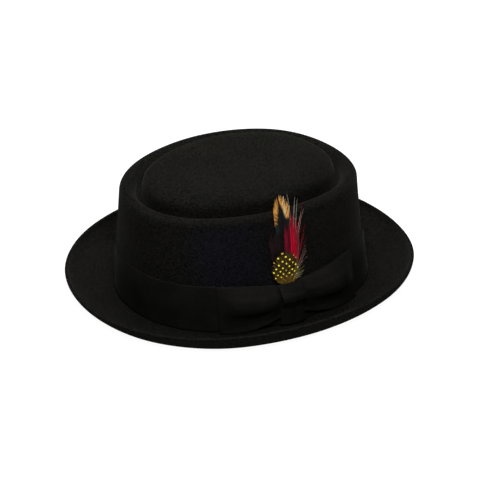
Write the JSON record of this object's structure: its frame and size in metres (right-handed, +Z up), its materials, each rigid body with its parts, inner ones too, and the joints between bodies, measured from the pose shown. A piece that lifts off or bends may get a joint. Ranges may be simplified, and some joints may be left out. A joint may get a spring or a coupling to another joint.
{
  "type": "porkpie hat",
  "caption": "Black felt porkpie hat: telescope crown with ridge, gutter and domed tip, short upturned brim, wide ribbon, side bow and a bunch of feathers.",
  "frame": {"origin": "middle of the brim's outline, on the surface that the hat rests on", "axes": "+Z up through the crown, -Y towards the front of the hat, +X towards the wearer's left, where the bow is"},
  "size_m": [0.242, 0.2766, 0.1052],
  "materials": {
    "black_felt": "matte brushed felt with a short nap",
    "black_ribbon": "fine cross ribbed ribbon with a low sheen",
    "gold_laced_feather": "feather with a dark middle and gold edges",
    "maroon_feather": "loose dark maroon feather",
    "red_feather": "crimson hackles with pale tips",
    "spotted_feather": "dark feather with round yellow spots"
  },
  "bodies": {
    "root": {"felt_body": "black_felt", "hat_band": "black_ribbon", "bow_loop_front": "black_ribbon", "bow_loop_rear": "black_ribbon", "bow_knot": "black_ribbon", "gold_laced_feather": "gold_laced_feather", "maroon_feather": "maroon_feather", "red_hackles": "red_feather", "spotted_feather": "spotted_feather"}
  },
  "joints": []
}
